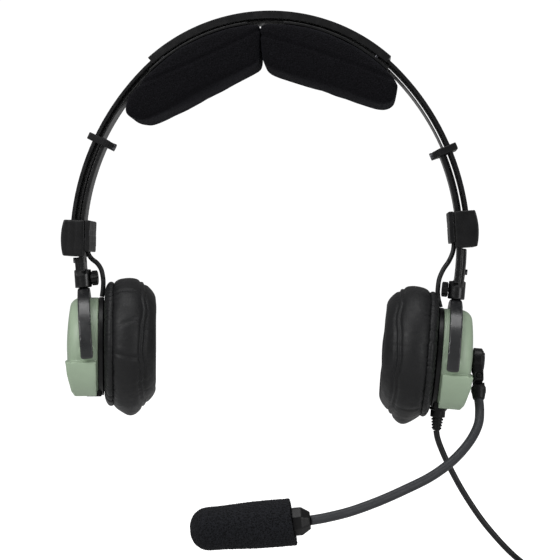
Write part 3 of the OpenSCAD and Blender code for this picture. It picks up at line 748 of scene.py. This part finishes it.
SCREEN_R = 17.6


def speaker_screen(side):
    """A shallow dished disc of cloth just inside the cushion's hole."""
    matrix = cup_matrix(side)
    rings, around = 14, 72
    verts, faces = [], grid_faces(rings, around)
    for i in range(rings):
        r = SCREEN_R * (i + 1) / rings
        sag = 0.9 * (1 - (r / SCREEN_R) ** 2)
        for k in range(around):
            a = 2 * math.pi * k / around
            place = (SKIRT_X + 1.3 + sag, r * math.cos(a), CUP_Z + CUSHION_LIFT + r * math.sin(a))
            verts.append(matrix @ mm(place))
    faces.append(tuple(range(around)))
    obj = mesh_object(side + "_speaker_screen", verts, faces, CLOTH_FINISH)
    apply_modifier(obj, "SOLIDIFY", thickness=0.0003, offset=0)
    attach(obj, side + "_cup")


speaker_screen("left")
speaker_screen("right")


# ---- Crown pads ----

CROWN_R = 89.0
CROWN_Z = 30.7 - CROWN_R
SIDE_R = 125.0
BLEND = math.radians(45)
SIDE_X = -(SIDE_R - CROWN_R) * math.sin(BLEND)
SIDE_Z = CROWN_Z - (SIDE_R - CROWN_R) * math.cos(BLEND)
PAD_DEPTH = 5.6
PAD_HALF = 19.0


def band_point(degrees, depth):
    """A point of the band's middle plane, at an angle from the crown and a depth below its outer face."""
    a = math.radians(abs(degrees))
    sign = math.copysign(1, degrees)
    if a <= BLEND:
        return sign * (CROWN_R - depth) * math.sin(a), CROWN_Z + (CROWN_R - depth) * math.cos(a)
    return sign * (SIDE_X + (SIDE_R - depth) * math.sin(a)), SIDE_Z + (SIDE_R - depth) * math.cos(a)


PADS = {
    "left": {
        "span": (-2.35, -53.0),
        "foot": [
            (-71.2, -18.6), (-66.5, -22.2), (-60, -22.6), (-52, -19.2), (-30, -7), (-8.0, 3.7), (-4.3, 5.6),
        ],
        "seam": ((-6, 20.5), (-62, -4.5)),
    },
    "right": {
        "span": (-3.35, 48.5),
        "foot": [(62.2, -13.4), (57.5, -15.6), (52.5, -14.6), (30, -6.2), (2.0, 2), (-2.8, 4.8)],
        "seam": ((-2, 19.5), (64, -3.2)),
    },
}


def crown_pad(side):
    spec = PADS[side]
    steps = 26
    first, last = spec["span"]
    outline = [band_point(first + (last - first) * i / steps, PAD_DEPTH) for i in range(steps + 1)]
    outline += spec["foot"]
    verts = [mm((x, y, z)) for y in (-PAD_HALF, PAD_HALF) for x, z in outline]
    n = len(outline)
    faces = [tuple(range(n)), tuple(range(2 * n - 1, n - 1, -1))]
    faces += [(i, (i + 1) % n, n + (i + 1) % n, n + i) for i in range(n)]
    pad = mesh_object(side + "_crown_pad", verts, faces, FINISH["pad_knit"])
    outward(pad)
    apply_modifier(pad, "REMESH", mode="VOXEL", voxel_size=0.0016)
    apply_modifier(pad, "SMOOTH", factor=0.5, iterations=12)
    inflate(pad, 1.6, 0.0016)
    apply_modifier(pad, "SUBSURF", levels=1, render_levels=1)
    apply_modifier(pad, "SMOOTH", factor=0.5, iterations=4)
    sew_pad(pad, spec["seam"], 5 if side == "left" else 8)
    for polygon in pad.data.polygons:
        polygon.use_smooth = True
    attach(pad, "headband")
    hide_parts(side + "_pad")


def inflate(obj, pressure, cap):
    """Blows a closed mesh up a little as cloth, and holds each point within cap of where it was."""
    before = coords(obj)
    modifier = obj.modifiers.new("cloth", "CLOTH")
    settings = modifier.settings
    settings.use_pressure = True
    settings.uniform_pressure_force = pressure
    settings.effector_weights.gravity = 0
    settings.quality = 5
    settings.tension_stiffness = 12
    settings.bending_stiffness = 0.6
    modifier.point_cache.frame_start = 1
    modifier.point_cache.frame_end = 20
    for number in range(1, 21):
        SCENE.frame_set(number)
    graph = bpy.context.evaluated_depsgraph_get()
    solved = obj.evaluated_get(graph)
    after = np.zeros(len(before) * 3)
    solved.data.vertices.foreach_get("co", after)
    obj.modifiers.remove(modifier)
    move = after.reshape(-1, 3) - before
    size = np.linalg.norm(move, axis=1, keepdims=True)
    set_coords(obj, before + move * np.minimum(1, cap / np.maximum(size, 1e-9)))
    SCENE.frame_set(1)


def sew_pad(pad, seam, seed):
    """Sinks the seam that joins the pad's upper and lower covers, and adds slack ripples in the knit."""
    rng = np.random.default_rng(seed)
    co = coords(pad) / MM
    (x0, z0), (x1, z1) = seam
    along = np.array([x1 - x0, z1 - z0])
    along /= np.linalg.norm(along)
    rel = co[:, [0, 2]] - np.array([x0, z0])
    run = rel @ along
    off = rel @ np.array([-along[1], along[0]]) + 0.00095 * (run - 32) ** 2 - 0.4
    sides = np.clip((np.abs(co[:, 1]) - 11) / 3, 0, 1)
    relief = -0.75 * bell(off, 0.8) * sides + 0.16 * (bell(off - 1.7, 0.8) + bell(off + 1.7, 0.8)) * sides
    for _ in range(26):
        centre = np.array([rng.uniform(co[:, 0].min(), co[:, 0].max()), rng.uniform(-18, 18), 0])
        turn = rng.uniform(0, math.pi)
        u = (co[:, 0] - centre[0]) * math.cos(turn) + (co[:, 1] - centre[1]) * math.sin(turn)
        v = -(co[:, 0] - centre[0]) * math.sin(turn) + (co[:, 1] - centre[1]) * math.cos(turn)
        relief += rng.uniform(-0.28, 0.2) * bell(u, rng.uniform(1.6, 4)) * bell(v, rng.uniform(6, 14))
    push(pad, relief * MM)


crown_pad("left")
crown_pad("right")


# ---- Microphone muff ----

MIC_ORIGIN = (22, -69, -211.9)
MIC_SLOPE = math.radians(5)
MUFF_LENGTH = 47.0
MUFF_MOUTH = -8.6
MUFF_R = 10.9


def mic_muff():
    """A turned foam cover, round at its closed end and cut slightly aslant at its mouth."""
    rng = np.random.default_rng(3)
    matrix = Matrix.Translation(mm(MIC_ORIGIN)) @ Matrix.Rotation(-MIC_SLOPE, 4, "Y")
    start = MUFF_MOUTH - MUFF_LENGTH
    rows = []
    for i in range(16):
        a = 0.5 * math.pi * i / 15
        rows.append((start + 8.6 * (1 - math.cos(a)), MUFF_R - 9.6 + 8.6 * math.sin(a), 0.0))
    rows[0] = (start, 0.4, 0.0)
    body = 64
    for i in range(1, body + 1):
        t = i / body
        rows.append((start + 8.6 + (MUFF_LENGTH - 8.6) * t, MUFF_R - 1.0 + 1.0 * ease(t * 1.4), t))
    rows += [(MUFF_MOUTH, MUFF_R - 0.6, 1.0), (MUFF_MOUTH - 0.1, MUFF_R - 1.6, 1.0)]
    rows += [(MUFF_MOUTH - 1.2, 7.2, 1.0), (-14.0, 6.3, 0.9)]
    rows += [(-30.0, 6.2, 0.5), (-30.5, 0.4, 0.5)]
    around = 120
    verts = []
    for x, r, t in rows:
        for k in range(around):
            a = 2 * math.pi * k / around
            slant = 0.6 - 1.0 * math.sin(a) * (r / MUFF_R) * t ** 6
            bulge = 1 + 0.03 * math.sin(2 * a + 0.6) * t
            verts.append(matrix @ mm((x + slant * t ** 4, r * bulge * math.cos(a), r * bulge * math.sin(a))))
    faces = grid_faces(len(rows), around)
    faces.append(tuple(range(around)))
    faces.append(tuple(range((len(rows) - 1) * around, len(rows) * around)))
    muff = mesh_object("mic_windscreen", verts, faces, FINISH["muff_foam"])
    outward(muff)
    apply_modifier(muff, "SUBSURF", levels=1, render_levels=1)
    push(muff, rng.normal(0, 0.11, len(muff.data.vertices)) * MM)
    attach(muff, "boom")
    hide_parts("mic_muff")


mic_muff()


# ---- Boom ----

BOOM_ROUTE = [
    (103.8, -9.4, -165), (103, -14, -171), (100, -19, -177), (95, -25, -183), (88, -32, -189),
    (78, -40, -195), (66, -48, -200), (54, -55, -204.5), (41, -61.5, -208.5), (30, -66, -210.8),
    (22, -69, -211.9),
]


ELBOW_LEAN = 20
ELBOW_REACH = 11


def boom_foot():
    """Where the boom enters its elbow."""
    hinge = Vector(JOINTS["boom_swing"]["pos_m"])
    lean = math.radians(ELBOW_LEAN)
    return hinge - mm((0, ELBOW_REACH * math.sin(lean), ELBOW_REACH * math.cos(lean)))


def boom_tube():
    points = catmull([boom_foot()] + [mm(p) for p in BOOM_ROUTE], 8)
    obj = tube("boom_tube", points, 2.3 * MM, 28, FINISH["boom_jacket"])
    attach(obj, "boom")
    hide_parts("boom_gooseneck")


boom_tube()


# ---- Wires from the arms to the cups ----

# Each route ends 0.4 mm deeper in its cup than the CAD wire does
WIRES = {
    "left": [
        (-91.5, 0, -81), (-91.5, 0, -84.5), (-91.5, 0, -87.4), (-89.8, 0, -90.2), (-86.9, 0.1, -92.6),
        (-84.9, 0.3, -95.8), (-84, 0.6, -100.3), (-84, 0.9, -104.5), (-84.6, 1, -109.4),
    ],
    "right": [
        (91.3, 0, -77), (91.5, 0, -80), (91.65, 0, -83.4), (91.1, 0, -87.2), (89.2, 0, -91.6),
        (86.4, 0, -95.8), (84.4, 0, -100.5), (83.7, 0, -105.5), (83.7, 0, -108.3),
        (84.1, 0, -111), (85, 0, -114.6),
    ],
}

# Where each span of a wire ends, as a place in its list of points: one span across each joint
WIRE_SPANS = {"left": (0, 3, 6, 8), "right": (0, 4, 8, 10)}
WIRE_STEPS = 6


def ear_wire(side):
    """Three tube spans along the wire's route, one across each of the arm's slide, the stirrup's swivel and the
    cup's tilt.
    """
    points = catmull([mm(p) for p in WIRES[side]], WIRE_STEPS)
    bodies = ["headband", side + "_arm", side + "_stirrup_frame", side + "_cup"]
    names = [side + "_wire_feed", side + "_wire_turn", side + "_ear_wire"]
    places = [place * WIRE_STEPS for place in WIRE_SPANS[side]]
    for name, first, last, upper, lower in zip(names, places, places[1:], bodies, bodies[1:]):
        run = points[first:last + 1]
        obj = tube(name, run, 1.2 * MM, 18, FINISH["cord_rubber"])
        if name == side + "_ear_wire":
            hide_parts(side + "_wire")
        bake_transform(obj)


ear_wire("left")
ear_wire("right")


# ---- Floor and light ----


WORLD_LIGHT = 0.24
FLOOR_GLOW = 0.12
FLOOR_DROP = 0.04


def floor():
    """A white floor, seen as part of the seamless backdrop, below the lead at every pose."""
    size = 4.0
    z = CAD_BOX[0][2] - FLOOR_DROP
    verts = [(-size, -size, z), (size, -size, z), (size, size, z), (-size, size, z)]
    s = Shader("floor_white", 0.9, Specular_IOR_Level=0.1)
    s.colour((0.6, 0.6, 0.6), (0.64, 0.64, 0.64), s.noise(3, 2))
    s.bsdf.inputs["Emission Color"].default_value = (1, 1, 1, 1)
    path = s.node("LightPath")
    s.link(s.ramp(path.outputs["Is Camera Ray"], 0, 1, FLOOR_GLOW, 1.0), s.bsdf.inputs["Emission Strength"])
    obj = mesh_object("floor", verts, [(0, 1, 2, 3)], s.material, smooth=False)


def softbox(name, location, target, width, height, watts, tint=(1, 1, 1)):
    data = bpy.data.lights.new(name, "AREA")
    data.shape = "RECTANGLE"
    data.size, data.size_y = width, height
    data.energy = watts
    data.color = tint
    lamp = add_object(name, data)
    lamp.location = location
    lamp.rotation_euler = (Vector(target) - lamp.location).to_track_quat("-Z", "Y").to_euler()


def studio():
    world = bpy.data.worlds.new("studio")
    SCENE.world = world
    world.use_nodes = True
    tree = world.node_tree
    back = next(n for n in tree.nodes if n.type == "BACKGROUND")
    back.inputs["Color"].default_value = (1, 1, 1, 1)
    path = tree.nodes.new("ShaderNodeLightPath")
    level = tree.nodes.new("ShaderNodeMapRange")
    level.inputs["To Min"].default_value = WORLD_LIGHT
    level.inputs["To Max"].default_value = 1.05
    tree.links.new(path.outputs["Is Camera Ray"], level.inputs["Value"])
    tree.links.new(level.outputs["Result"], back.inputs["Strength"])
    aim = mm((5, 0, -90))
    softbox("key", (-0.75, -0.95, 0.55), aim, 0.8, 0.8, 12)
    softbox("fill", (0.95, -0.75, 0.15), aim, 0.6, 0.9, 5.5)
    softbox("top", (0.0, -0.15, 0.95), aim, 0.9, 0.6, 6.5)


floor()
studio()
